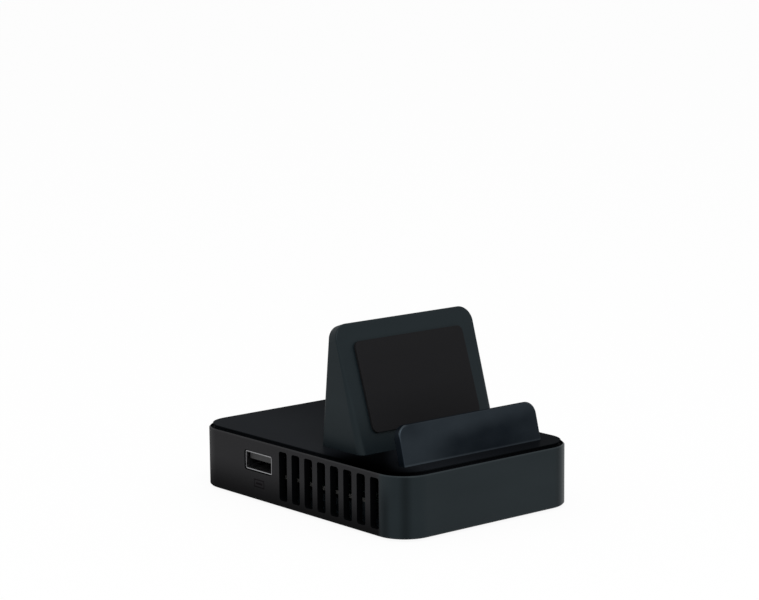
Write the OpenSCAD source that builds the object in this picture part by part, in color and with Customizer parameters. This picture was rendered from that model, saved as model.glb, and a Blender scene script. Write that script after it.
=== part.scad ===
// Docking stand for a handheld device.
// The device leans back in the slot between the front lip and the rear rest,
// and its socket sits on the plug that rises from the middle of the cover.
// X runs along the width, -Y is the front, +Z is up.
// The origin lies on the surface that the feet stand on, under the middle of the housing.

/* [Housing] */
// Outer width of the housing
body_w = 71; // [68:0.5:84]
// Outer depth of the housing
body_d = 100; // [96:1:120]
// Height of the wall, from its underside to its rim
body_h = 18.8; // [18.3:0.1:24]
// Plan radius of the corners
corner_r = 10; // [8:0.5:12]
// Thickness of the wall
wall = 2.2; // [1.6:0.1:2.4]
// Chamfer on the outer edges of the moulded shells
edge_c = 0.4; // [0.2:0.05:0.5]
// Side clearance between two pieces that fit into each other
fit_gap = 0.15; // [0.05:0.05:0.25]

/* [Vent slots] */
// Number of slots in each side wall
vent_n = 8; // [3:1:8]
// Width of a slot
vent_w = 3.9; // [2.5:0.1:4.4]
// Distance from one slot to the next
vent_pitch = 6.2; // [5.6:0.1:6.4]
// Height of the slots' lower ends above the bottom cover
vent_low = 0.1; // [0.1:0.1:2]
// Height of the plain band between the slots and the rim
vent_band = 1.4; // [1.3:0.1:4]
// Distance from the front face to the first slot
vent_start = 10.1; // [10:0.1:14]
// Radius of a slot's corners
vent_r = 0.8; // [0.3:0.1:1.2]

/* [Top cover] */
// Thickness of the cover plate
cover_t = 1.8; // [1.5:0.1:2.2]
// Height of the cover above the rim of the wall
cover_rise = 0.95; // [0.6:0.05:1.2]
// Distance from the face of the wall to the part of the cover that sits inside it
cover_inset = 0.8; // [0.6:0.05:1]
// Distance from there back to the cover's upper edge
edge_step = 0.4; // [0.2:0.05:0.8]
// Depth of the shadow groove under the cover's upper edge
groove_d = 0.7; // [0.3:0.05:0.8]
// Depth that the groove reaches below the rim of the wall
groove_low = 0.4; // [0.2:0.05:0.6]
// Diameter of the screw posts under the cover
post_d = 6; // [5:0.5:7]
// Distance from the side and end faces to the middle of a post
post_set = 7.5; // [7:0.5:9]

/* [Front lip] */
// Width of the lip
lip_w = 55; // [40:1:60]
// Height of the lip along its slope
lip_h = 12.3; // [9:0.1:18]
// Thickness of the lip
lip_t = 2.6; // [2:0.1:3]
// Backward lean of the lip in degrees
lip_lean = 15; // [8:0.5:19]
// Radius of the lip's upper corners
lip_r = 4; // [2:0.5:6]
// Distance from the front face to the foot of the lip
lip_set = 7.85; // [6:0.05:9]
// Rounding of the edges of the lip and of the rest
soft_edge = 0.5; // [0.3:0.1:0.8]
// Radius of the fillet along the foot of the lip
lip_fillet = 0.8; // [0.4:0.1:1]

/* [Slot] */
// Backward lean of the docked device in degrees
lean = 18.7; // [14:0.1:22]
// Thickness of the docked device
console_t = 13.9; // [12:0.1:16]
// Distance from the front face to the middle of the slot, at the top of the cover
slot_set = 18.8; // [18.5:0.1:24]
// Clearance between the device and the rest's pad
slot_gap = 0.5; // [0.3:0.1:1.5]
// Width of the raised seat round the plug
seat_w = 26; // [22:1:34]
// Depth of the raised seat from front to back
seat_d = 11; // [10:0.5:12]
// Height of the seat above the cover, on the middle line of the slot
seat_rise = 1.4; // [1:0.1:3]
// Thickness of the two soft pads
pad_t = 0.8; // [0.5:0.1:1]

/* [Rear rest] */
// Width of the rest
rest_w = 55; // [46:1:60]
// Height of the rest along its slope
rest_h = 40; // [34:1:60]
// Thickness of the rest at its top
rest_t = 4; // [3.5:0.1:6]
// Depth of the rest at its foot
rest_d = 20; // [19:0.5:26]
// Thickness of the rest's walls
rest_wall = 2; // [1.5:0.1:2.4]
// Radius of the rest's upper corners
rest_r = 5; // [3:0.5:8]

/* [Plug] */
// Width of the plug's metal shell
plug_w = 8.3; // [8:0.05:8.6]
// Thickness of the plug's metal shell
plug_t = 2.4; // [2.3:0.05:2.6]
// Length of the plug above its seat
plug_up = 6.7; // [6:0.1:7.5]
// Length of the plug inside its holder
plug_in = 6; // [5:0.1:7]
// Sheet thickness of the metal shells
sheet_t = 0.3; // [0.2:0.05:0.4]
// Width of the holder's column
holder_w = 14; // [13:0.5:17]
// Thickness of the holder's column
holder_t = 6.5; // [5.5:0.1:7.5]

/* [Boards] */
// Height of the main board's top above the underside of the wall
board_z = 9.1; // [8.6:0.1:9.6]
// Thickness of the main board
board_t = 1.2; // [1:0.1:1.6]
// Clearance between the wall and the edge of the main board
board_gap = 1.2; // [0.8:0.1:2]
// Thickness of the plug's small board
card_t = 0.8; // [0.6:0.1:1]

/* [Ports] */
// Distance from the last vent slot to the side port's opening
usb_gap = 3.7; // [2:0.1:6]
// Distance from the middle of the back to the middle of the video port
video_x = 12; // [10:0.5:16]
// Distance from the middle of the back to the middle of the power port
power_x = 12; // [8:0.5:20]
// Clearance round a port in the wall's opening
port_gap = 0.3; // [0.2:0.05:0.5]

/* [Base] */
// Thickness of the bottom cover
base_t = 2; // [1.8:0.1:2.2]
// Distance from the face of the wall to the rebate for the bottom cover
base_inset = 0.9; // [0.7:0.05:1.1]
// Height that the feet stand below the bottom cover
foot_proud = 0.8; // [0.5:0.1:1.5]
// Length of a foot
foot_l = 38; // [24:1:40]
// Width of a foot
foot_w = 7; // [5:0.5:8]
// Depth of the pocket that a foot is glued into
foot_pocket = 0.8; // [0.5:0.1:1]
// Distance from the front and back faces to the middle of a foot
foot_set = 8; // [7:0.5:12]

/* [Fasteners] */
// Diameter of the large screws' shanks
screw_d = 2.3; // [2:0.1:2.6]
// Diameter of the large screws' heads
head_d = 4.4; // [4:0.1:4.8]
// Height of the large screws' heads
head_h = 1.3; // [1:0.1:1.4]
// Diameter of the small screws' shanks
tiny_d = 1.7; // [1.5:0.1:2]
// Diameter of the small screws' heads
tiny_head_d = 3.4; // [3:0.1:3.6]
// Height of the small screws' heads
tiny_head_h = 1.1; // [0.9:0.1:1.3]
// Clearance round a shank in a plain hole
hole_gap = 0.3; // [0.2:0.05:0.4]

/* [Hidden] */
$fn = 64;

// Heights
z_under = foot_proud;
z_rim = z_under + body_h;
z_top = z_rim + cover_rise;
z_seat = z_top - cover_t;
z_base = z_under + base_t;
z_board = z_under + board_z;
z_board_under = z_board - board_t;

// Places from front to back and from side to side
y_front = -body_d / 2;
y_slot = y_front + slot_set;
y_lip = y_front + lip_set;
post_x = body_w / 2 - post_set;
post_y = body_d / 2 - post_set;
cut = 1;        // how far a cutting solid runs past a face
thread_gap = 0.1; // between a shank and its pilot hole
tiny_grip = 3.5;  // length of a small screw's thread in plastic
case_grip = 4;    // length of a large screw's thread in plastic

// Board
rib_t = 1.2;      // stiffening ribs
rib_h = 2.4;
board_w = body_w - 2 * (wall + board_gap);
board_d = body_d - 2 * (wall + board_gap);
post_clear = 1; // round the screw posts
notch_d = 13.5; // length of the notches in the board's corners
boss_h = 1.2;   // screw bosses on the bottom cover
boss_d = head_d + 3;
stand_d = 5;    // standoffs under the board
stand_x = board_w / 2 - 6.5;
stand_y1 = -24;
stand_y2 = 32;

// Slot and rest
pad_margin = 6;   // plain edge beside the pads
pad_r = 2;        // corners of the pads
glue_t = 0.02;    // film of glue behind the pads
rest_screw_in = 11;   // from the side of the rest to its screws
rest_screw_back = 8.5; // from the back of the rest to its screws
seat_r = 2;       // plan radius of the seat and of the plug's opening
y_rest = y_slot + (console_t / 2 + slot_gap + pad_t) / cos(lean);
rest_screw_x = rest_w / 2 - rest_screw_in;
rest_screw_y = y_rest + rest_d - rest_screw_back;
rest_post_d = head_d + 2.6;
pilot_up = case_grip + 3;   // depth of the pilot holes for the large screws

// Plug holder
flange_w = 36;
flange_d = 9;
flange_t = 2;
holder_boss_x = 14;
holder_boss_d = 5;
holder_boss_h = tiny_grip + 1;
y_holder = y_slot - (z_top - z_board) * tan(lean);
card_w = 10.5;
card_top = -plug_in - 0.1;

// Ports: width, height, length and the sheet's plan radius
usb_w = 13.2;
usb_h = 5.7;
usb_l = 14;
usb_y = y_front + vent_start + (vent_n - 1) * vent_pitch + vent_w + usb_gap + port_gap + usb_w / 2;
video_w = 14.6;
video_h = 5.5;
video_l = 11.5;
video_slope = 1.6; // chamfer of the video port's lower corners
power_w = 9;
power_h = 3.2;
power_l = 8;
port_back = 0.3;   // mouth of a port behind the face of the wall

// Parts on the board
chip_t = 0.9;
tim_t = 0.5;      // thermal pad
chip_w = 8;
chip_x = 9;
chip_y = -2;
sink_w = 24;
sink_base = 1.4;
sink_gap = 0.65;  // under the heads of the rest's screws
sink_h = z_seat - head_h - sink_gap - z_board - chip_t - tim_t;
fin_n = 7;
fin_t = 1;
hub_x = -14;
hub_y = -2;
hub_w = 7;
supply_x = 8;
supply_y = 28;
supply_w = 5;
coil_x = supply_x + 9;
coil_y = 28;
coil_w = 6.5;
coil_h = 3;
cap_x = board_w / 2 - 8.5;
cap_d = 5;
cap_step = cap_d + 1;
cap_y = chip_y + sink_w / 2 + cap_d;
cap_h = 5.4;
can_w = 3.2;      // crystal's can
can_d = 2.5;
can_h = 0.8;

// Rectangle w by d with corners of radius r
module rounded_rect(w, d, r) {
    square([w, d - 2 * r], center = true);
    square([w - 2 * r, d], center = true);
    for (x = [-1, 1], y = [-1, 1])
        translate([x * (w / 2 - r), y * (d / 2 - r)]) circle(r);
}

// Slab with rounded corners, standing on z = 0
module rounded_slab(w, d, h, r) {
    linear_extrude(h) rounded_rect(w, d, r);
}

// Slab of height c that narrows by c all round: the chamfer at the top of a block
module chamfer_slab(w, d, r, c) {
    for (x = [-1, 1], y = [-1, 1])
        translate([x * (w / 2 - r), y * (d / 2 - r), 0]) cylinder(h = c, r1 = r, r2 = r - c);
    rotate([90, 0, 0]) linear_extrude(d - 2 * r, center = true)
        polygon([[-w / 2, 0], [w / 2, 0], [w / 2 - c, c], [-w / 2 + c, c]]);
    rotate([90, 0, 90]) linear_extrude(w - 2 * r, center = true)
        polygon([[-d / 2, 0], [d / 2, 0], [d / 2 - c, c], [-d / 2 + c, c]]);
}

// Disc in the plane y = 0 to y = t, with rounded edges, its axis along Y
module soft_disc(r, t, e) {
    rotate([-90, 0, 0]) rotate_extrude($fn = 48)
        intersection() {
            square([r, t]);
            union() {
                square([r - e, t]);
                for (z = [e, t - e]) translate([r - e, z]) circle(e, $fn = 20);
                translate([0, e]) square([r, t - 2 * e]);
            }
        }
}

// Pan-head screw with a cross recess: head below z = 0, shank above it
module pan_screw(d, length, hd, hh) {
    recess = hd * 0.2;
    difference() {
        union() {
            translate([0, 0, -hh * 0.6]) cylinder(h = hh * 0.6, d = hd);
            translate([0, 0, -hh]) cylinder(h = hh * 0.4, d1 = hd * 0.74, d2 = hd);
            cylinder(h = length - d * 0.5, d = d);
            translate([0, 0, length - d * 0.5]) cylinder(h = d * 0.5, d1 = d, d2 = d * 0.4);
        }
        for (a = [0, 90])
            rotate([0, 0, a]) translate([-hd * 0.3, -recess / 2, -hh - cut])
                cube([hd * 0.6, recess, cut + hh * 0.6]);
    }
}

// Places of the four case posts
module at_posts() {
    for (x = [-1, 1], y = [-1, 1]) translate([x * post_x, y * post_y, 0]) children();
}

// Places of the four board standoffs
module at_stands() {
    for (x = [-1, 1], y = [stand_y1, stand_y2]) translate([x * stand_x, y, 0]) children();
}

// Frame of the leaning device: origin on the seat, Z up along the plug
module in_slot() {
    translate([0, y_slot + seat_rise * tan(lean), z_top + seat_rise]) rotate([-lean, 0, 0]) children();
}

// Frame of the lip: origin at its foot, Y through its thickness, Z up along its slope
module in_lip() {
    translate([0, y_lip, z_top]) rotate([-lip_lean, 0, 0]) children();
}

// Frame of the rest's front face: origin at its foot
module in_rest() {
    translate([0, y_rest, z_top]) rotate([-lean, 0, 0]) children();
}

// Outline of the three kinds of port, centred on the port's middle
module usb_outline(grow) {
    rounded_rect(usb_w + 2 * grow, usb_h + 2 * grow, 0.6 + grow);
}

module video_outline(grow) {
    w = video_w / 2 + grow;
    h = video_h / 2 + grow;
    polygon([[-w, h], [w, h], [w, -h + video_slope], [w - video_slope, -h],
        [-w + video_slope, -h], [-w, -h + video_slope]]);
}

module power_outline(grow) {
    rounded_rect(power_w + 2 * grow, power_h + 2 * grow, power_h / 2 + grow - 0.01);
}

// Frames of the ports: origin in the middle of the mouth, X across, Y up, Z into the stand
module in_usb() {
    translate([-body_w / 2 + port_back, usb_y, z_board + usb_h / 2]) rotate([90, 0, 90]) children();
}

module in_video() {
    translate([-video_x, body_d / 2 - port_back, z_board + video_h / 2]) rotate([90, 0, 0]) children();
}

module in_power() {
    translate([power_x, body_d / 2 - port_back, z_board + power_h / 2]) rotate([90, 0, 0]) children();
}

// Sheet-metal socket: a sleeve closed at its back
module port_sleeve(length) {
    difference() {
        linear_extrude(length) children(0);
        translate([0, 0, -cut]) linear_extrude(length + cut - sheet_t) children(1);
    }
}

module vent_row() {
    h = body_h - base_t - vent_low - vent_band;
    for (k = [0 : vent_n - 1])
        translate([0, y_front + vent_start + vent_w / 2 + k * vent_pitch, z_base + vent_low + h / 2])
            rotate([90, 0, 90]) linear_extrude(wall + 2 * cut, center = true) rounded_rect(vent_w, h, vent_r);
}

module housing() {
    color([0.15, 0.16, 0.17]) difference() {
        union() {
            translate([0, 0, z_under + edge_c])
                rounded_slab(body_w, body_d, body_h - 2 * edge_c, corner_r);
            translate([0, 0, z_rim - edge_c]) chamfer_slab(body_w, body_d, corner_r, edge_c);
            translate([0, 0, z_under + edge_c]) mirror([0, 0, 1])
                chamfer_slab(body_w, body_d, corner_r, edge_c);
        }
        translate([0, 0, z_under - cut])
            rounded_slab(body_w - 2 * wall, body_d - 2 * wall, body_h + 2 * cut, corner_r - wall);
        // Rebates that the two covers drop into
        translate([0, 0, z_seat]) let (g = cover_inset - fit_gap)
            rounded_slab(body_w - 2 * g, body_d - 2 * g, cover_t + cut, corner_r - g);
        translate([0, 0, z_under - cut]) let (g = base_inset - fit_gap)
            rounded_slab(body_w - 2 * g, body_d - 2 * g, base_t + cut, corner_r - g);
        for (s = [-1, 1]) translate([s * (body_w - wall) / 2, 0, 0]) vent_row();
        in_usb() translate([0, 0, -cut]) linear_extrude(wall + 2 * cut) usb_outline(port_gap);
        in_video() translate([0, 0, -cut]) linear_extrude(wall + 2 * cut) video_outline(port_gap);
        in_power() translate([0, 0, -cut]) linear_extrude(wall + 2 * cut) power_outline(port_gap);
    }
}

// The lip is one rounded plate that leans back, moulded with the cover
module lip() {
    root_r = 1;
    in_lip() hull() {
        for (x = [-1, 1]) translate([x * (lip_w / 2 - lip_r), 0, lip_h - lip_r])
            soft_disc(lip_r, lip_t, soft_edge);
        for (x = [-1, 1]) translate([x * (lip_w / 2 - root_r), 0, 0])
            soft_disc(root_r, lip_t, soft_edge);
    }
    // Concave fillet along the foot
    translate([0, y_lip, z_top]) rotate([90, 0, 90]) linear_extrude(lip_w - 2 * soft_edge, center = true)
        difference() {
            translate([-lip_fillet, -cover_t / 2]) square([lip_fillet + lip_t / 2, cover_t / 2 + lip_fillet]);
            translate([-lip_fillet, lip_fillet]) circle(lip_fillet);
            rotate(90 - lip_lean) translate([-cut, -0.01]) square([lip_h, lip_t * 2]);
        }
}

// Raised seat whose top is square to the plug, and runs out into the cover at the back
module seat() {
    intersection() {
        translate([0, y_slot, z_seat]) rounded_slab(seat_w, seat_d, cover_t + lip_h, seat_r);
        in_slot() translate([-seat_w, -seat_d * 2, -lip_h]) cube([seat_w * 2, seat_d * 4, lip_h]);
    }
}

// Plate of the cover: it drops into the wall, and an undercut groove parts it from the rim,
// so that its top seems to float
module cover_plate() {
    w = body_w - 2 * cover_inset;
    d = body_d - 2 * cover_inset;
    r = corner_r - cover_inset;
    band = cover_rise - groove_d;
    translate([0, 0, z_seat]) rounded_slab(w, d, cover_t - cover_rise - groove_low, r);
    top_w = w - 2 * edge_step;
    top_d = d - 2 * edge_step;
    top_r = r - edge_step;
    translate([0, 0, z_seat])
        rounded_slab(top_w - 2 * groove_d, top_d - 2 * groove_d, cover_t - band, top_r - groove_d);
    translate([0, 0, z_top - band]) mirror([0, 0, 1]) chamfer_slab(top_w, top_d, top_r, groove_d);
    translate([0, 0, z_top - band]) rounded_slab(top_w, top_d, band, top_r);
}

// Ribs under the cover that stiffen it along the lip and the rest,
// and a collar round the plug's opening
module cover_ribs() {
    for (y = [y_lip + lip_t / 2, y_rest]) translate([-lip_w / 2, y - rib_t / 2, z_seat - rib_h])
        cube([lip_w, rib_t, rib_h + cover_t / 2]);
    grow = 2 * (hole_gap + rib_t);
    in_slot() translate([0, 0, -holder_t])
        rounded_slab(holder_w + grow, holder_t + grow, holder_t - seat_r, seat_r);
}

module top_cover() {
    color([0.04, 0.045, 0.05]) {
        difference() {
            union() {
                cover_plate();
                seat();
                cover_ribs();
                at_posts() translate([0, 0, z_base + boss_h])
                    cylinder(h = z_seat - z_base - boss_h, d = post_d);
            }
            at_posts() translate([0, 0, z_base + boss_h - cut])
                cylinder(h = cut + pilot_up, d = screw_d + thread_gap);
            for (x = [-1, 1]) translate([x * rest_screw_x, rest_screw_y, z_seat - cut])
                cylinder(h = cover_t + 2 * cut, d = screw_d + 2 * hole_gap);
            in_slot() translate([0, 0, -z_top]) linear_extrude(z_top + 2 * cut)
                rounded_rect(holder_w + 2 * hole_gap, holder_t + 2 * hole_gap, seat_r + hole_gap);
        }
        lip();
    }
}

// Solid wedge of the rest, or its hollow when it is drawn smaller by g
module rest_body(g) {
    foot_r = 2.5 - g / 2;
    foot_h = 0.05;
    top_r = rest_r - g * 0.8;
    hull() {
        for (x = [-1, 1]) in_rest() translate([x * (rest_w / 2 - g - top_r), g, rest_h - g - top_r])
            soft_disc(top_r, rest_t - g * 1.4, g > 0 ? 0.1 : soft_edge);
        for (x = [-1, 1], y = [g / cos(lean) + foot_r + foot_h * tan(lean), rest_d - g - foot_r])
            translate([x * (rest_w / 2 - g - foot_r), y_rest + y, z_top])
                cylinder(h = foot_h, r = foot_r, $fn = 32);
    }
}

module rear_rest() {
    color([0.13, 0.14, 0.15]) difference() {
        rest_body(0);
        difference() {
            translate([0, 0, -0.01]) rest_body(rest_wall);
            // Screw posts that grow out of the sloping front wall
            for (x = [-1, 1]) translate([x * rest_screw_x, rest_screw_y, z_top - cut])
                cylinder(h = rest_h, d = rest_post_d);
        }
        for (x = [-1, 1]) translate([x * rest_screw_x, rest_screw_y, z_top - cut])
            cylinder(h = cut + pilot_up, d = screw_d + thread_gap);
    }
}

module bottom_cover() {
    w = body_w - 2 * base_inset;
    d = body_d - 2 * base_inset;
    color([0.13, 0.14, 0.15]) difference() {
        union() {
            translate([0, 0, z_under]) rounded_slab(w, d, base_t, corner_r - base_inset);
            at_posts() translate([0, 0, z_base - cut]) cylinder(h = cut + boss_h, d = boss_d);
            at_stands() translate([0, 0, z_base - cut])
                cylinder(h = cut + z_board_under - z_base, d = stand_d);
            // Ribs from standoff to standoff
            for (x = [-1, 1]) translate([x * stand_x - rib_t / 2, stand_y1, z_base - cut])
                cube([rib_t, stand_y2 - stand_y1, cut + rib_h]);
            for (y = [stand_y1, stand_y2]) translate([-stand_x, y - rib_t / 2, z_base - cut])
                cube([2 * stand_x, rib_t, cut + rib_h]);
        }
        at_posts() translate([0, 0, z_under - cut]) {
            cylinder(h = cut + base_t + boss_h + cut, d = screw_d + 2 * hole_gap);
            cylinder(h = cut + head_h + foot_proud / 2, d = head_d + 2 * hole_gap);
        }
        at_stands() translate([0, 0, z_base]) cylinder(h = z_board, d = tiny_d + thread_gap);
        for (s = [-1, 1]) translate([0, s * (body_d / 2 - foot_set), z_under - cut])
            rounded_slab(foot_l + 2 * fit_gap, foot_w + 2 * fit_gap, cut + foot_pocket,
                foot_w / 2 + fit_gap - 0.01);
    }
}

// Rubber strip with a chamfered tread
module foot() {
    tread = 0.3;
    h = foot_proud + foot_pocket;
    color([0.09, 0.09, 0.09]) {
        translate([0, 0, tread]) rounded_slab(foot_l, foot_w, h - tread, foot_w / 2 - 0.01);
        rounded_slab(foot_l - 2 * tread, foot_w - 2 * tread, tread, foot_w / 2 - tread - 0.01);
    }
}

module front_foot() {
    translate([0, -(body_d / 2 - foot_set), 0]) foot();
}

module rear_foot() {
    translate([0, body_d / 2 - foot_set, 0]) foot();
}

// Soft pad on the back of the lip
module lip_pad() {
    w = lip_w - 2 * pad_margin;
    h = lip_h - lip_r - pad_r;
    color([0.08, 0.08, 0.08]) in_lip() translate([0, lip_t + glue_t, lip_h - lip_r / 2 - h / 2])
        rotate([-90, 0, 0]) rounded_slab(w, h, pad_t - glue_t, pad_r);
}

// Soft pad on the front of the rest
module rest_pad() {
    w = rest_w - 2 * pad_margin;
    h = rest_h - 2 * pad_margin;
    color([0.08, 0.08, 0.08]) in_rest() translate([0, -glue_t, rest_h / 2])
        rotate([90, 0, 0]) rounded_slab(w, h, pad_t - glue_t, pad_r);
}

module case_screws() {
    color([0.5, 0.5, 0.5]) at_posts() translate([0, 0, z_under + head_h + foot_proud / 2])
        pan_screw(screw_d, base_t + boss_h - head_h - foot_proud / 2 + case_grip, head_d, head_h);
}

module rest_screws() {
    color([0.5, 0.5, 0.5]) for (x = [-1, 1]) translate([x * rest_screw_x, rest_screw_y, z_seat])
        pan_screw(screw_d, cover_t + case_grip, head_d, head_h);
}

module board_screws() {
    color([0.6, 0.6, 0.6]) at_stands() translate([0, 0, z_board]) mirror([0, 0, 1])
        pan_screw(tiny_d, board_t + tiny_grip, tiny_head_d, tiny_head_h);
}

module holder_screws() {
    color([0.6, 0.6, 0.6]) for (x = [-1, 1]) translate([x * holder_boss_x, y_holder, z_board_under])
        pan_screw(tiny_d, board_t + tiny_grip, tiny_head_d, tiny_head_h);
}

module main_board() {
    notch = post_set - wall - board_gap + post_d / 2 + post_clear;
    color([0.05, 0.2, 0.12]) difference() {
        translate([-board_w / 2, -board_d / 2, z_board_under]) cube([board_w, board_d, board_t]);
        for (x = [-1, 1], y = [-1, 1])
            translate([x * board_w / 2, y * board_d / 2, z_board])
                cube([2 * notch, 2 * max(notch, notch_d), 4 * board_t], center = true);
        at_stands() translate([0, 0, z_board_under - cut])
            cylinder(h = board_t + 2 * cut, d = tiny_d + 2 * hole_gap);
        for (x = [-1, 1]) translate([x * holder_boss_x, y_holder, z_board_under - cut])
            cylinder(h = board_t + 2 * cut, d = tiny_d + 2 * hole_gap);
    }
}

// Moulded column on the main board that carries the leaning plug
module plug_holder() {
    color([0.1, 0.1, 0.1]) difference() {
        union() {
            in_slot() translate([0, 0, -z_top]) rounded_slab(holder_w, holder_t, z_top - 0.1, seat_r);
            translate([0, y_holder, z_board]) rounded_slab(flange_w, flange_d, flange_t, seat_r);
            for (x = [-1, 1]) translate([x * holder_boss_x, y_holder, z_board])
                cylinder(h = holder_boss_h, d = holder_boss_d);
        }
        translate([0, y_holder, z_board - z_top]) cube([body_w, body_d / 2, 2 * z_top], center = true);
        in_slot() translate([0, 0, -plug_in])
            rounded_slab(plug_w + 0.1, plug_t + 0.1, plug_in + cut, plug_t / 2);
        in_slot() translate([0, 0, -z_top - plug_in]) linear_extrude(z_top + 0.01)
            square([card_w + 2 * hole_gap, card_t + 2 * hole_gap], center = true);
        for (x = [-1, 1]) translate([x * holder_boss_x, y_holder, z_board - cut])
            cylinder(h = cut + tiny_grip + 0.4, d = tiny_d + thread_gap);
    }
}

// Small board that stands between the plug and the main board
module plug_board() {
    color([0.05, 0.2, 0.12]) difference() {
        in_slot() translate([0, 0, card_top - z_top]) linear_extrude(z_top)
            square([card_w, card_t], center = true);
        translate([0, y_holder, z_board - z_top]) cube([body_w, body_d / 2, 2 * z_top], center = true);
    }
}

module plug_shell() {
    color([0.75, 0.75, 0.75]) in_slot() translate([0, 0, -plug_in]) difference() {
        rounded_slab(plug_w, plug_t, plug_in + plug_up, plug_t / 2 - 0.01);
        translate([0, 0, -cut])
            rounded_slab(plug_w - 2 * sheet_t, plug_t - 2 * sheet_t, plug_in + plug_up + 2 * cut,
                plug_t / 2 - sheet_t - 0.01);
    }
}

// Plastic core of the plug, hollow for the socket's tongue
module plug_core() {
    w = plug_w - 2 * sheet_t - 0.1;
    t = plug_t - 2 * sheet_t - 0.1;
    color([0.05, 0.05, 0.05]) in_slot() translate([0, 0, -plug_in]) difference() {
        rounded_slab(w, t, plug_in + plug_up - 0.4, t / 2 - 0.01);
        translate([0, 0, plug_in + 0.4]) linear_extrude(plug_up) square([w - 1.1, t * 0.46], center = true);
    }
}

module usb_port_shell() {
    color([0.7, 0.7, 0.7]) in_usb() port_sleeve(usb_l) {
        usb_outline(0);
        usb_outline(-sheet_t);
    }
}

module usb_port_tongue() {
    h = usb_h - 2 * sheet_t;
    color([0.9, 0.9, 0.9]) in_usb() {
        translate([-usb_w / 2 + 1, h / 2 - 2.2, 1]) cube([usb_w - 2, 1.8, usb_l - 1 - sheet_t]);
        translate([-usb_w / 2 + 0.9, -h / 2 + 0.1, usb_l - 3]) cube([usb_w - 1.8, h - 0.2, 3 - sheet_t]);
    }
}

module video_port_shell() {
    color([0.7, 0.7, 0.7]) in_video() port_sleeve(video_l) {
        video_outline(0);
        video_outline(-sheet_t);
    }
}

module video_port_tongue() {
    h = video_h - 2 * sheet_t;
    color([0.05, 0.05, 0.05]) in_video() {
        translate([-video_w / 2 + 1.8, -0.6, 1]) cube([video_w - 3.6, 1.5, video_l - 1 - sheet_t]);
        translate([-video_w / 2 + 2.2, -h / 2 + 0.1, video_l - 2.5])
            cube([video_w - 4.4, h - 0.2, 2.5 - sheet_t]);
    }
}

module power_port_shell() {
    color([0.7, 0.7, 0.7]) in_power() port_sleeve(power_l) {
        power_outline(0);
        power_outline(-sheet_t);
    }
}

module power_port_tongue() {
    h = power_h - 2 * sheet_t;
    color([0.05, 0.05, 0.05]) in_power() {
        translate([-power_w / 2 + 1.15, -0.35, 0.8]) cube([power_w - 2.3, 0.7, power_l - 0.8 - sheet_t]);
        translate([-power_w / 2 + 1.4, -h / 2 + 0.1, power_l - 2])
            cube([power_w - 2.8, h - 0.2, 2 - sheet_t]);
    }
}

// Flat chip package with its top edges chamfered
module package(w, t) {
    rounded_slab(w, w, t * 0.6, 0.2);
    translate([0, 0, t * 0.6]) rounded_slab(w - 0.2, w - 0.2, t * 0.4, 0.2);
}

module video_chip() {
    color([0.06, 0.06, 0.06]) translate([chip_x, chip_y, z_board]) package(chip_w, chip_t);
}

module thermal_pad() {
    color([0.6, 0.62, 0.65]) translate([chip_x, chip_y, z_board + chip_t])
        rounded_slab(chip_w, chip_w, tim_t, 0.5);
}

module heat_sink() {
    step = (sink_w - fin_t) / (fin_n - 1);
    color([0.65, 0.66, 0.68]) translate([chip_x, chip_y, z_board + chip_t + tim_t]) {
        translate([-sink_w / 2, -sink_w / 2, 0]) cube([sink_w, sink_w, sink_base]);
        for (k = [0 : fin_n - 1]) translate([-sink_w / 2 + k * step, -sink_w / 2, 0])
            cube([fin_t, sink_w, sink_h]);
    }
}

module hub_chip() {
    color([0.06, 0.06, 0.06]) translate([hub_x, hub_y, z_board]) package(hub_w, chip_t);
}

module power_chip() {
    color([0.06, 0.06, 0.06]) translate([supply_x, supply_y, z_board]) package(supply_w, chip_t);
}

module inductor() {
    color([0.25, 0.25, 0.27]) translate([coil_x, coil_y, z_board]) {
        rounded_slab(coil_w, coil_w, coil_h - 0.4, 1.2);
        translate([0, 0, coil_h - 0.4]) rounded_slab(coil_w - 0.8, coil_w - 0.8, 0.4, 0.9);
    }
}

// Can capacitor on a square plastic foot
module capacitor(y) {
    color([0.7, 0.7, 0.72]) translate([cap_x, y, z_board]) {
        rounded_slab(cap_d + 0.3, cap_d + 0.3, 0.8, 0.6);
        cylinder(h = cap_h, d = cap_d);
    }
}

module capacitor_1() {
    capacitor(cap_y);
}

module capacitor_2() {
    capacitor(cap_y + cap_step);
}

module crystal() {
    color([0.75, 0.75, 0.7]) translate([hub_x, hub_y + hub_w, z_board])
        rounded_slab(can_w, can_d, can_h, 0.5);
}

housing();
top_cover();
rear_rest();
bottom_cover();
lip_pad();
rest_pad();
front_foot();
rear_foot();
case_screws();
rest_screws();
board_screws();
holder_screws();
main_board();
plug_board();
plug_holder();
plug_shell();
plug_core();
usb_port_shell();
usb_port_tongue();
video_port_shell();
video_port_tongue();
power_port_shell();
power_port_tongue();
video_chip();
thermal_pad();
heat_sink();
hub_chip();
power_chip();
inductor();
capacitor_1();
capacitor_2();
crystal();
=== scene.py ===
from math import cos, radians, tan

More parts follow.
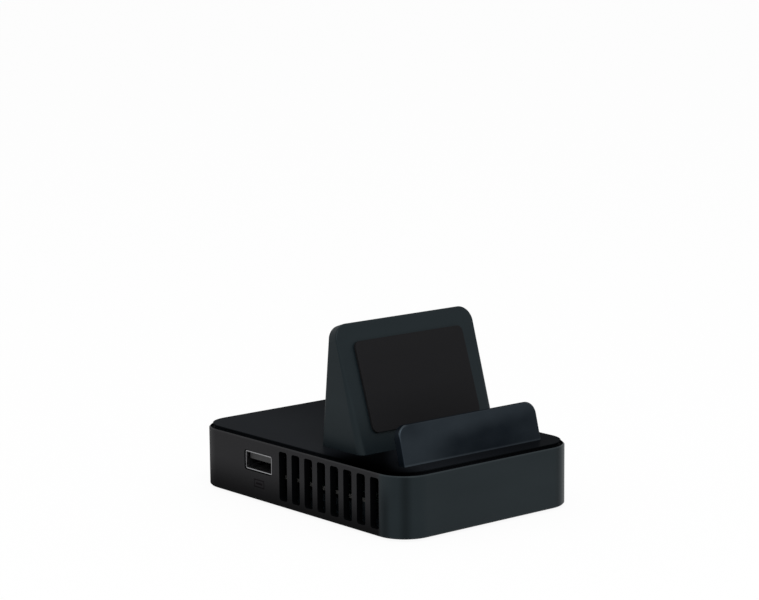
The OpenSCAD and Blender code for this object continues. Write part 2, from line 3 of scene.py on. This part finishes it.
import bpy
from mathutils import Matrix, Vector


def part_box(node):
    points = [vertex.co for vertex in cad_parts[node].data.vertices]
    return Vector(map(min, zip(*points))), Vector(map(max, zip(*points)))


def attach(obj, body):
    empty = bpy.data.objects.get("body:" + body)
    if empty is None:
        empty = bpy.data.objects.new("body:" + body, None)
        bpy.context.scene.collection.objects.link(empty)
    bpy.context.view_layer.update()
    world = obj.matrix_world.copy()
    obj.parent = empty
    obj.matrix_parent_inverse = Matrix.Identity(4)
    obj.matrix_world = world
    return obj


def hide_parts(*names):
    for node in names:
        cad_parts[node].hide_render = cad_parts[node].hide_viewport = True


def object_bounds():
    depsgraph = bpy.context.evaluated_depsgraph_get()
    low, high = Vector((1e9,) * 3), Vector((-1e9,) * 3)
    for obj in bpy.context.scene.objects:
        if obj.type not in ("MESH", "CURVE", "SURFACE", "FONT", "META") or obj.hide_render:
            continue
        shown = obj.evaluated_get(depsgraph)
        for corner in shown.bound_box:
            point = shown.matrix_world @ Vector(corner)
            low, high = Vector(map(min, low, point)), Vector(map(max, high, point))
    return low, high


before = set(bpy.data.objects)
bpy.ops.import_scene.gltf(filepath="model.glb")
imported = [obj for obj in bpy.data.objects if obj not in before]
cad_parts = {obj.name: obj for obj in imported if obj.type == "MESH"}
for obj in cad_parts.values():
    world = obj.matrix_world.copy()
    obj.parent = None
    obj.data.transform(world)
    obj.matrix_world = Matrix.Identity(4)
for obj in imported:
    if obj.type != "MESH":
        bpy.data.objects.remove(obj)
cad_low, cad_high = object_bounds()
mm = 0.001

# ---------------------------------------------------------------- camera
# The view: a long lens at table height in front of the stand's left corner,
# looking a little down on it.
camera = bpy.data.objects.new("camera", bpy.data.cameras.new("camera"))
bpy.context.scene.collection.objects.link(camera)
camera.location = (-0.47973, -0.57237, 0.18780)
camera.rotation_euler = (radians(80.4175), radians(0.4884), radians(-39.9807))
camera.data.sensor_width = 36
camera.data.lens = 116.48
bpy.context.scene.camera = camera

# ---------------------------------------------------------------- studio
# A white sheet under the stand, an even white room and one broad soft lamp in
# front of it on the left. Every look here, as on the stand, is a Finish.
sheet_size = 16
sheet_drop = 0.02 * mm
paper_tone = (0.92, 0.92, 0.92, 1)
paper_glow = 1.012
paper_share_seen = 0.92
white = (1, 1, 1, 1)
room_light = 0.66


class Wire:
    """One output socket of a finish. Arithmetic on it adds Math nodes."""

    def __init__(self, finish, socket):
        self.finish = finish
        self.socket = socket

    def math(self, operation, *values):
        return self.finish.node("Math", {"operation": operation}, dict(enumerate(values)))

    def __add__(self, other):
        return self.math("ADD", self, other)

    __radd__ = __add__

    def __sub__(self, other):
        return self.math("SUBTRACT", self, other)

    def __rsub__(self, other):
        return self.math("SUBTRACT", other, self)

    def __mul__(self, other):
        return self.math("MULTIPLY", self, other)

    def __truediv__(self, other):
        return self.math("DIVIDE", self, other)

    def __gt__(self, other):
        return self.math("GREATER_THAN", self, other)

    def __lt__(self, other):
        return self.math("LESS_THAN", self, other)

    def __abs__(self):
        return self.math("ABSOLUTE", self)

    def capped(self, most):
        return self.math("MINIMUM", self, most)

    def floored(self, least):
        return self.math("MAXIMUM", self, least)

    def root(self):
        return self.math("SQRT", self)

    def ramp(self, start, end):
        """0 at start and below, 1 at end and above, smooth between them."""
        return self.finish.node("MapRange", {"interpolation_type": "SMOOTHSTEP"},
                                {"Value": self, "From Min": start, "From Max": end})

    def fade(self, start, end):
        """1 at start and below, 0 at end and above, smooth between them."""
        return 1 - self.ramp(start, end)

    def band(self, middle, reach):
        """1 at the middle, down to 0 at that reach on either side of it."""
        return abs(self - middle).fade(0, reach)


class Finish:
    """A material, or the room, under construction."""

    def __init__(self, name, room=None):
        owner = room or bpy.data.materials.new(name)
        owner.use_nodes = True
        self.material = owner
        self.tree = owner.node_tree
        self.tree.nodes.clear()
        self.out = self.tree.nodes.new(
            "ShaderNodeOutputWorld" if room else "ShaderNodeOutputMaterial")
        if not room:
            self.place = self.node("TexCoord", out="Object")
            axes = self.node("SeparateXYZ", {}, {0: self.place}).socket.node.outputs
            self.x, self.y, self.z = (Wire(self, axis) / mm for axis in axes)

    def node(self, kind, settings=None, values=None, out=0):
        """Adds a node, makes its settings, then feeds values or wires to its sockets."""
        made = self.tree.nodes.new("ShaderNode" + kind)
        for key, value in (settings or {}).items():
            setattr(made, key, value)
        for key, value in (values or {}).items():
            if isinstance(value, Wire):
                self.tree.links.new(value.socket, made.inputs[key])
            else:
                made.inputs[key].default_value = value
        return Wire(self, made.outputs[out])

    def close(self, surface):
        self.tree.links.new(surface.socket, self.out.inputs["Surface"])
        return self.material


def seen_directly(finish):
    """1 on rays that look at the background itself, in a mirror or through glass."""
    kinds = ("Is Camera Ray", "Is Glossy Ray", "Is Transmission Ray")
    camera_ray, mirror_ray, glass_ray = (finish.node("LightPath", out=kind) for kind in kinds)
    return (camera_ray + mirror_ray + glass_ray).capped(1)


bpy.ops.mesh.primitive_plane_add(size=sheet_size, location=(0, 0, -sheet_drop))
sheet = bpy.context.object
sheet.name = "studio_floor"
paper = Finish("white_paper")
matt_paper = paper.node("BsdfDiffuse", {}, {"Color": paper_tone})
bright_paper = paper.node("Emission", {}, {"Color": white, "Strength": paper_glow})
paper_mix = {0: seen_directly(paper) * paper_share_seen, 1: matt_paper, 2: bright_paper}
sheet.data.materials.append(paper.close(paper.node("MixShader", {}, paper_mix)))

bpy.context.scene.world = bpy.data.worlds.new("white_room")
room = Finish("white_room", bpy.context.scene.world)
even_light = room.node("Background", {}, {"Color": white, "Strength": room_light})
white_wall = room.node("Background", {}, {"Color": white, "Strength": 1})
room.close(room.node("MixShader", {}, {0: seen_directly(room), 1: even_light, 2: white_wall}))

soft_box = bpy.data.objects.new("soft_box", bpy.data.lights.new("soft_box", "AREA"))
soft_box.data.energy = 9
soft_box.data.size = 0.9
soft_box.location = (-0.5, -0.9, 1.3)
soft_box.rotation_euler = (-soft_box.location).to_track_quat("-Z", "Y").to_euler()
bpy.context.scene.collection.objects.link(soft_box)
bpy.context.scene.view_settings.view_transform = "Standard"

# ---------------------------------------------------------------- housing
# The wall of the stand is one injection moulding in charcoal plastic. Its outside has the
# mould's fine spark-eroded grain with painted light and shade on it, its inside the plain
# core side, painted darker as shade.
shell_tone = (0.0056, 0.0096, 0.0124)
shell_tint = (0.84, 0.98, 1)
# Painted side light: the vented wall gets a more neutral second tone, standing in for the other
# light that falls on that side.
vented_side_light_tone = (0.0118, 0.0098, 0.0112)
# Painted shade: the core side is darkened almost to black, as shade inside the wall and in its
# slots.
core_shade_tone = (0.0012, 0.0014, 0.0018)
flow_size, flow_stretch = 14, (3, 3, 0.8)
flow_dark, flow_light = 0.84, 1.18
flow_in_tone, fine_in_tone = 0.7, 0.3
least_sheen, sheen_from_flow = 0.85, 0.3
second_tone_dulling = 0.28
mark_dulling, mark_depth_in_grains = 0.8, 4
wear_spread = 0.08

corner_r = 10
corner_x, corner_y = cad_low.x / mm + corner_r, cad_low.y / mm + corner_r
rim_z = 19.6
outer_chamfer = 0.42
# Painted light on the wall's outside: the light it keeps, a painted rim highlight, dark painted
# reflection bands round the front corner, painted highlights beside the slots and at the right
# turn, and painted shade low on the vented wall.
wall_light_kept = 0.94
rim_highlight = 0.45
dark_reflection_bands, beside_slots_highlight = (0.34, 0.35), 0.13
turn_highlight, turn_shade = 0.6, 0.16
low_wall_shade = 0.68

mark_y, mark_z = 17.6, 6.1
mark_half_length, mark_half_height, mark_line = 2.6, 1.3, 0.35
bar_half_length, bar_half_height = 1.6, 0.3
mark_reach = 0.5

weld_distance = 0.002 * mm
flat_angle, edge_angle, smooth_angle = radians(0.5), radians(28), radians(32)


def grain(finish, size, detail=2, stretch=(1, 1, 1)):
    """Noise from 0 to 1 with grains of that many millimetres, drawn out along the axes."""
    place = finish.node("Mapping", {}, {"Vector": finish.place, "Scale": [1 / s for s in stretch]})
    values = {"Vector": place, "Scale": 1 / (size * mm), "Detail": detail}
    return finish.node("TexNoise", {}, values, "Fac")


def mixed(finish, factor, first, second):
    """Colour that runs from the first to the second with the factor. Either is a colour
    with three numbers, or a wire."""
    first, second = (end if isinstance(end, Wire) else (*end, 1) for end in (first, second))
    return finish.node("Mix", {"data_type": "RGBA"}, {0: factor, 6: first, 7: second}, 2)


def bumped(finish, height, depth):
    """Relief whose height of 0 to 1 is that many millimetres deep."""
    return finish.node("Bump", {}, {"Height": height, "Strength": 1, "Distance": depth * mm})


def surface(finish, colour, roughness, normal, **sockets):
    """Principled surface. A further socket is named with its spaces as underscores."""
    values = {"Base Color": colour, "Roughness": roughness, "Normal": normal}
    values.update({key.replace("_", " "): value for key, value in sockets.items()})
    return finish.node("BsdfPrincipled", {}, values)


def moulded(name, tone, roughness, sheen, size=0.12, depth=0.008, tint=(1, 1, 1),
            mark=None, shade=None, cast=None):
    """Moulded plastic: fine grain, and broad, faint marks where the melt flowed.
    Sheen is the share of the surface that mirrors; a function may paint it place by place as
    painted highlights and shade. Mark is what is sunk into it, shade is painted light and shade
    that gives how much of its light a place keeps, and cast paints a second tone where a place
    stands in other light."""
    finish = Finish(name)
    fine = grain(finish, size, 3)
    flow = grain(finish, flow_size, 2, flow_stretch)
    dark, light = ([part * share for part in tone] for share in (flow_dark, flow_light))
    colour = mixed(finish, flow * flow_in_tone + fine * fine_in_tone, dark, light)
    if callable(sheen):
        gloss = sheen(finish)
    else:
        gloss = flow * (sheen_from_flow * sheen) + least_sheen * sheen
    height = fine
    if cast:
        where, second_tone = cast
        there = where(finish)
        colour = mixed(finish, there, colour, second_tone)
        gloss = gloss * (1 - there * second_tone_dulling)
    if shade:
        kept = shade(finish)
        colour = mixed(finish, kept, (0, 0, 0), colour)
        gloss = gloss * kept
    if mark:
        sunk = mark(finish)
        gloss = gloss * (1 - sunk * mark_dulling)
        height = fine - sunk * mark_depth_in_grains
    wear_and_edge_highlight = roughness + (flow - 0.5) * wear_spread + (fine - 0.5) * wear_spread
    relief = bumped(finish, height, depth)
    matt = surface(finish, colour, wear_and_edge_highlight, relief, Specular_IOR_Level=0)
    glossy = surface(finish, colour, wear_and_edge_highlight, relief, Specular_Tint=(*tint, 1))
    return finish.close(finish.node("MixShader", {}, {0: gloss, 1: matt, 2: glossy}))


def eased_copy(name, radius, slot, *materials):
    """A CAD node as one skin whose sharp edges are eased by that radius, in its place."""
    bpy.ops.object.select_all(action="DESELECT")
    piece = bpy.data.objects.new(name + "_moulding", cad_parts[name].data.copy())
    bpy.context.scene.collection.objects.link(piece)
    bpy.context.view_layer.objects.active = piece
    piece.select_set(True)
    bpy.ops.object.mode_set(mode="EDIT")
    bpy.ops.mesh.select_all(action="SELECT")
    bpy.ops.mesh.remove_doubles(threshold=weld_distance)
    bpy.ops.mesh.dissolve_limited(angle_limit=flat_angle)
    bpy.ops.object.mode_set(mode="OBJECT")
    eased = piece.modifiers.new("eased", "BEVEL")
    eased.width = radius
    eased.segments = 2
    eased.limit_method = "ANGLE"
    eased.angle_limit = edge_angle
    bpy.ops.object.modifier_apply(modifier="eased")
    bpy.ops.object.shade_smooth_by_angle(angle=smooth_angle)
    even = piece.modifiers.new("even", "WEIGHTED_NORMAL")
    even.keep_sharp = True
    bpy.ops.object.modifier_apply(modifier="even")
    piece.data.materials.clear()
    for material in materials:
        piece.data.materials.append(material)
    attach(piece, "root")
    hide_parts(name)
    return piece


def second_finish(piece, chosen):
    """Gives the second finish to the faces whose middle, in millimetres, the test chooses."""
    for face in piece.data.polygons:
        face.material_index = int(chosen(face.center / mm))


def inside_wall(at):
    """Whether a face lies deeper in the wall than its outer chamfer."""
    across = abs(at.x) - (cad_high.x / mm - corner_r)
    along = abs(at.y) - (cad_high.y / mm - corner_r)
    outwards = Vector((max(across, 0), max(along, 0))).length + min(max(across, along), 0)
    return corner_r - outwards > outer_chamfer


def port_mark(finish):
    """Outline of a socket with a bar in it, sunk into the left wall under the side port."""
    along, up = abs(finish.y - mark_y), abs(finish.z - mark_z)
    outer = (along < mark_half_length) * (up < mark_half_height)
    inner = (along < mark_half_length - mark_line) * (up < mark_half_height - mark_line)
    bar = (along < bar_half_length) * (up < bar_half_height)
    return (outer - inner + bar) * (finish.x < cad_low.x / mm + mark_reach)


def vented_side(finish):
    """1 on the left wall and 0 from the front corner on."""
    return finish.y.ramp(-41, -39.2) * (finish.x < corner_x - 4.5)


def painted_wall_light(finish):
    """Painted light on the wall: two dark painted reflection bands round the front corner, a
    painted highlight beside the slots, along the upper edge and where the front turns to the
    right, with a darker dip before that turn, and painted shade down the vented wall."""
    round_corner = (finish.y - corner_y) - (finish.x - corner_x)
    first_band = round_corner.band(-1.2, 3.6) * dark_reflection_bands[0]
    second_band = round_corner.band(7.5, 3) * finish.z.fade(8, 19) * dark_reflection_bands[1]
    beside_slots = round_corner.ramp(2, 8) * finish.z.ramp(10, 18) * beside_slots_highlight
    bands = (first_band + second_band - beside_slots) * finish.y.fade(-39.5, -38)
    low = vented_side(finish) * finish.z.fade(1, 12.5) * low_wall_shade
    rim_light = finish.z.ramp(rim_z - 0.4, rim_z - 0.1) * rim_highlight
    right_end = finish.x.ramp(28, 30.5) * turn_highlight - finish.x.band(27, 1.6) * turn_shade
    return wall_light_kept + rim_light + right_end * finish.y.fade(-46, -43) - bands - low


# The shell carries the painted wall light, the second tone painted as side light on the vented
# wall, and the sunk port mark.
shell = moulded("charcoal_shell", shell_tone, 0.42, 0.44, tint=shell_tint,
                mark=port_mark, shade=painted_wall_light, cast=(vented_side, vented_side_light_tone))
# The inside faces take the plain core-side finish, painted dark as shade in the wall and its slots.
core_side_shaded = moulded("core_side_shaded", core_shade_tone, 0.7, 0.06, 0.2)
housing = eased_copy("housing", 0.12 * mm, "shell_plastic", shell, core_side_shaded)
second_finish(housing, inside_wall)

# ---------------------------------------------------------------- bottom cover
# A flat moulding in the same plastic, dropped into the wall from below and held
# by four screws. It carries the standoffs of the main board.
underside = moulded("charcoal_underside", shell_tone, 0.5, 0.36, 0.18, 0.012, shell_tint)
eased_copy("bottom_cover", 0.1 * mm, "shell_plastic", underside)

# ---------------------------------------------------------------- feet
# Two strips of moulded black rubber, glued into shallow pockets of the bottom
# cover. Their matt faces hold a little dust from the table.


def dress(material, *names):
    """Puts a finish on whole CAD nodes."""
    for name in names:
        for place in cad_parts[name].material_slots:
            place.material = material


rubber = moulded("black_rubber", (0.014, 0.014, 0.013), 0.74, 0.5, 0.35, 0.02)
dress(rubber, "front_foot", "rear_foot")

# ---------------------------------------------------------------- screws
# Pan-head steel screws with a cross recess, plated with zinc that is faintly
# mottled. They hold the covers, the rest, the board and the plug's holder.
polish_lost_in_marks = 0.13


def metal(name, dark, light, roughness, size, stretch=(1, 1, 1), depth=0.003):
    """Bare or plated metal whose tone and polish follow its fine working marks."""
    finish = Finish(name)
    marks = grain(finish, size, 3, stretch)
    tone = mixed(finish, marks, dark, light)
    polish = roughness + marks * polish_lost_in_marks
    return finish.close(surface(finish, tone, polish, bumped(finish, marks, depth), Metallic=1))


zinc = metal("zinc_plate", (0.42, 0.43, 0.45), (0.6, 0.6, 0.6), 0.26, 0.5)
dress(zinc, "case_screws", "rest_screws", "board_screws", "holder_screws")

# ---------------------------------------------------------------- main board
# Glass-fibre board under dark solder mask, through which tracks and weave show;
# its cut edge is bare laminate. It lies on four standoffs.
weave_scale, track_scale, track_gap = 500, 260, 0.03
cut_edge = 0.03
board_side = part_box("main_board")[1].x / mm

mask = Finish("solder_mask")
weave_values = {"Vector": mask.place, "Scale": weave_scale}
warp, weft = (mask.node("TexWave", {"bands_direction": axis}, weave_values, "Fac")
              for axis in ("X", "Y"))
weave = warp * weft
track_values = {"Vector": mask.place, "Scale": track_scale, "Mortar Size": track_gap}
tracks = mask.node("TexBrick", {"offset": 0.5}, track_values, "Fac")
mask_tone = mixed(mask, tracks * 0.55 + weave * 0.2, (0.003, 0.007, 0.006), (0.007, 0.018, 0.014))
laminate = abs(mask.x) > board_side - cut_edge
laminate_tone = mixed(mask, weave, (0.10, 0.10, 0.095), (0.16, 0.16, 0.15))
board_tone = mixed(mask, laminate, mask_tone, laminate_tone)
board_polish = 0.3 + weave * 0.08 + laminate * 0.4
board_relief = bumped(mask, tracks * 0.7 + weave * 0.3, 0.02)
board_skin = mask.close(
    surface(mask, board_tone, board_polish, board_relief, Specular_IOR_Level=0.3))
dress(board_skin, "main_board")

# ---------------------------------------------------------------- chips
# Packages moulded in black epoxy resin round their circuits and soldered to the
# board. Their faces keep the fine matt grain of the mould.
resin = moulded("epoxy_resin", (0.012, 0.012, 0.012), 0.6, 0.6, 0.06, 0.006)
dress(resin, "video_chip", "hub_chip", "power_chip")

# ---------------------------------------------------------------- heat sink
# A black anodised aluminium extrusion, drawn along its fins. A soft pad of grey
# silicone holds it to the video chip.
sink = metal("anodised_aluminium", (0.018, 0.018, 0.02), (0.04, 0.04, 0.043), 0.4, 0.12,
             (1, 40, 1), 0.006)
dress(sink, "heat_sink")
dress(moulded("grey_silicone", (0.3, 0.31, 0.33), 0.7, 0.8, 0.2, 0.01), "thermal_pad")

# ---------------------------------------------------------------- supply parts
# A coil in a block of pressed ferrite, two capacitors in drawn aluminium cans and
# a crystal in a low steel can, all soldered to the board.
dress(moulded("pressed_ferrite", (0.05, 0.05, 0.055), 0.55, 0.8, 0.15, 0.01), "inductor")
can = metal("can_aluminium", (0.35, 0.36, 0.38), (0.48, 0.49, 0.5), 0.3, 0.1, (1, 1, 20))
dress(can, "capacitor_1", "capacitor_2")
dress(metal("crystal_can", (0.03, 0.03, 0.03), (0.06, 0.06, 0.062), 0.4, 0.2), "crystal")

# ---------------------------------------------------------------- ports
# Sockets of folded sheet steel, plated, round a moulded tongue. The tongues carry
# rows of gold-plated contact strips.
strip_t = 0.1
nose_steps = ((0.4, 0.8), (0.4 / 3, 0.55))
facing_the_mouth = 0.9
strip_easing = 0.2
leftwards, backwards = Vector((-1, 0, 0)), Vector((0, 1, 0))

plated = metal("plated_sheet", (0.20, 0.20, 0.205), (0.30, 0.30, 0.31), 0.26, 0.3,
               (1, 10, 1), 0.002)
dress(plated, "usb_port_shell", "video_port_shell", "power_port_shell")
tongue = moulded("black_tongue", (0.01, 0.01, 0.011), 0.45, 0.8, 0.1, 0.004)
dress(tongue, "usb_port_tongue", "video_port_tongue", "power_port_tongue")
gold_plate = metal("gold_plate", (0.62, 0.40, 0.13), (0.83, 0.58, 0.24), 0.22, 0.15,
                   (6, 6, 1), 0.002)


def box_mm(name):
    """Lowest corner, middle and highest corner of a CAD node, in millimetres."""
    lowest, highest = (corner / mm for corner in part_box(name))
    return lowest, (lowest + highest) / 2, highest


def spread(count, pitch):
    """That many places in a row, centred on 0."""
    return [(k - (count - 1) / 2) * pitch for k in range(count)]


def contact_row(name, strip, front, places):
    """Contact strips with tapered noses that point to the mouth of their socket. Sizes and
    places are in millimetres; one strip is shaped, and the others are its copies."""
    bpy.ops.object.select_all(action="DESELECT")
    bpy.ops.mesh.primitive_cube_add(size=1, location=(0, 0, 0), scale=[size * mm for size in strip])
    first = bpy.context.object
    bpy.ops.object.transform_apply(location=False, rotation=False, scale=True)
    bpy.ops.object.mode_set(mode="EDIT")
    bpy.ops.mesh.select_all(action="DESELECT")
    bpy.ops.mesh.select_mode(type="FACE")
    bpy.ops.object.mode_set(mode="OBJECT")
    for face in first.data.polygons:
        face.select = face.normal.dot(front) > facing_the_mouth
    bpy.ops.object.mode_set(mode="EDIT")
    for length, narrowing in nose_steps:
        bpy.ops.mesh.extrude_region_move(TRANSFORM_OT_translate={"value": front * length * mm})
        bpy.ops.transform.resize(value=(narrowing, narrowing, narrowing))
    bpy.ops.object.mode_set(mode="OBJECT")
    eased = first.modifiers.new("eased", "BEVEL")
    eased.width = min(strip) * strip_easing * mm
    eased.limit_method = "ANGLE"
    bpy.ops.object.modifier_apply(modifier="eased")
    strips = [first]
    for place in places[1:]:
        copied = first.copy()
        copied.data = first.data.copy()
        copied.location = [value * mm for value in place]
        bpy.context.scene.collection.objects.link(copied)
        strips.append(copied)
    first.location = [value * mm for value in places[0]]
    for made in strips:
        made.select_set(True)
    bpy.ops.object.join()
    bpy.ops.object.transform_apply(location=True, rotation=True, scale=True)
    bpy.ops.object.shade_smooth_by_angle(angle=smooth_angle)
    first.name = name
    first.data.materials.append(gold_plate)
    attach(first, "root")


side_strip = (7.5, 1.1, strip_t)
side_row = (-3.5, -1, 1, 3.5)
side_setback, side_tongue_t = 4.85, 1.8
usb_low, usb_mid, usb_high = box_mm("usb_port_tongue")
side_z = usb_high.z - side_tongue_t - strip_t / 2
contact_row("side_port_contacts", side_strip, leftwards,
            [(usb_low.x + side_setback, usb_mid.y + y, side_z) for y in side_row])

video_strip = (0.45, 6.5, strip_t)
video_row = spread(10, 0.95)
video_setback = 4.45
blade_bottom, blade_top, strip_proud = -0.6, 0.9, 0.04
video_faces = (blade_bottom - strip_proud, blade_top + strip_proud)
video_middle_z = box_mm("video_port_shell")[1].z
_, video_mid, video_high = box_mm("video_port_tongue")
contact_row("video_port_contacts", video_strip, backwards,
            [(video_mid.x + x, video_high.y - video_setback, video_middle_z + z)
             for x in video_row for z in video_faces])

power_strip = (0.26, 3.5, 0.06)
power_row = spread(12, 0.5)
power_setback = 2.85
power_faces = (-0.37, 0.37)
_, power_mid, power_high = box_mm("power_port_tongue")
contact_row("power_port_contacts", power_strip, backwards,
            [(power_mid.x + x, power_high.y - power_setback, power_mid.z + z)
             for x in power_row for z in power_faces])

# ---------------------------------------------------------------- plug
# The plug leans in a moulded holder over a small board of its own. Its shell is
# drawn from seamless steel round a black core; two screws fix its holder.
drawn = metal("drawn_steel", (0.36, 0.36, 0.37), (0.46, 0.46, 0.47), 0.34, 0.4,
              (1, 1, 12), 0.0004)
dress(drawn, "plug_shell")
dress(tongue, "plug_holder", "plug_core")
dress(board_skin, "plug_board")

# ---------------------------------------------------------------- top cover
# A thin black moulding that drops into the wall with a shadow groove round it.
# Its plate is satin, and its leaning lip is grained; both carry painted light and shade.
cover_top = 20.55
plate_tone = (0.0095, 0.0110, 0.0135)
plate_half_x, plate_half_y, plate_r = 34.4, 48.9, 9
# Painted light on the plate: a base, painted brightening off the left front corner and towards the
# left, painted shade at the rim and a painted shadow beside the lip's left end.
plate_light_base = 0.12
away_from_corner, towards_left = 0.45, 0.4
plate_rim_shade, beside_lip_painted_shadow = 0.6, 0.84
seat_half_x, seat_top = 13.2, 23

lip_tone = (0.0037, 0.0057, 0.0084)
lip_tint = (0.65, 0.84, 1)
lip_half_x, lip_h, lip_r = 27.5, 12.3, 3.4
lip_lean = radians(15)
lip_foot_y = -42.15
lip_front_y, lip_back_y = -43.2, -34
lip_polish = 0.55
# Painted highlights along the lip's foot and left edge, and painted shade low in its middle, at its
# upper left and on its rim and back.
foot_highlight, less_foot_highlight_on_right = 0.46, 0.17
edge_highlight, edge_highlight_higher_up = 0.11, 1.4
low_middle_shade, upper_left_shade, rim_back_shade = 0.4, 0.14, 0.94
haze = 0.22


def past_outline(across, along, half_across, half_along, corner):
    """How far a place lies outside a rounded rectangle; negative within it."""
    over_x = (abs(across) - (half_across - corner)).floored(0)
    over_y = (abs(along) - (half_along - corner)).floored(0)
    return (over_x * over_x + over_y * over_y).root() - corner


def painted_lip_light(finish):
    """Painted light on the lip: painted highlights along its left edge, stronger towards the top,
    and along its foot, less towards the right; painted shade low in its middle, at its upper
    left and on its rounded rim and back."""
    x, up = finish.x, finish.z - cover_top
    middle = x.ramp(-22, -5) * (1 - x.ramp(11, 27) * 0.3)
    low_middle = middle * (finish.z - x * 0.1).fade(24.5, 30.5)
    hazy = grain(finish, 5, 3, (1.6, 1, 1)) - 0.5
    foot = up.fade(0.2, 0.7) * (foot_highlight - (x / lip_half_x) * less_foot_highlight_on_right)
    edge = past_outline(x, up / cos(lip_lean), lip_half_x, lip_h, lip_r)
    depth = finish.y - lip_foot_y - up * tan(lip_lean)
    wear_and_edge_highlight = edge_highlight + finish.z.ramp(27, 31) * edge_highlight_higher_up
    left_edge = edge.ramp(-0.7, -0.45) * x.fade(-27, -23) * wear_and_edge_highlight
    upper_left = finish.z.ramp(26, 31) * x.fade(-24, -15)
    rim_back_shaded = (edge.ramp(-0.26, -0.16) + depth.ramp(0.4, 0.6)).capped(1) * rim_back_shade
    face = lip_polish - low_middle * low_middle_shade - upper_left * upper_left_shade
    return (face + hazy * haze + foot + left_edge) * (1 - rim_back_shaded)


def painted_plate_light(finish):
    """Painted light on the plate: painted shade at its rim and in its left front corner, a
    painted shadow beside the lip's left end, and a painted brightening towards its left side."""
    x, y = finish.x, finish.y
    rim = past_outline(x, y, plate_half_x, plate_half_y, plate_r).ramp(-0.5, -0.15)
    off_corner = 1 - x.fade(-33, -22) * y.fade(-30, -5)
    across_view = x * 0.77 - y * 0.64
    beside_lip = across_view.fade(-1, 5) * y.fade(-25, -8)
    lit = plate_light_base + off_corner * (away_from_corner + x.fade(-25, 25) * towards_left)
    return lit * (1 - rim * plate_rim_shade) * (1 - beside_lip * beside_lip_painted_shadow)


def on_lip(at):
    """Whether a face of the cover belongs to the lip and not to the seat behind it."""
    above = at.z > cover_top + 0.02 and lip_front_y < at.y < lip_back_y
    return above and not (abs(at.x) < seat_half_x and at.z < seat_top)


satin = moulded("satin_plate", plate_tone, 0.34, 0.045, 0.1, 0.002, shell_tint, shade=painted_plate_light)
lip_finish = moulded("grained_lip", lip_tone, 0.34, painted_lip_light, 0.1, 0.004, lip_tint)
cover = eased_copy("top_cover", 0.05 * mm, "cover_plastic", satin, lip_finish)
second_finish(cover, on_lip)

# ---------------------------------------------------------------- rear rest
# A hollow wedge moulded in the wall's plastic, for the back of what stands in the
# stand. Two screws through the cover fix it from below.
rest = moulded("charcoal_rest", shell_tone, 0.42, 0.36, tint=shell_tint)
eased_copy("rear_rest", 0.05 * mm, "shell_plastic", rest)

# ---------------------------------------------------------------- pads
# Soft pads cut from black foam sheet and glued to the lip and the rest, to spare
# what leans on them.
foam = moulded("soft_foam", (0.008, 0.008, 0.009), 0.85, 0.3, 0.25, 0.03)
dress(foam, "lip_pad", "rest_pad")
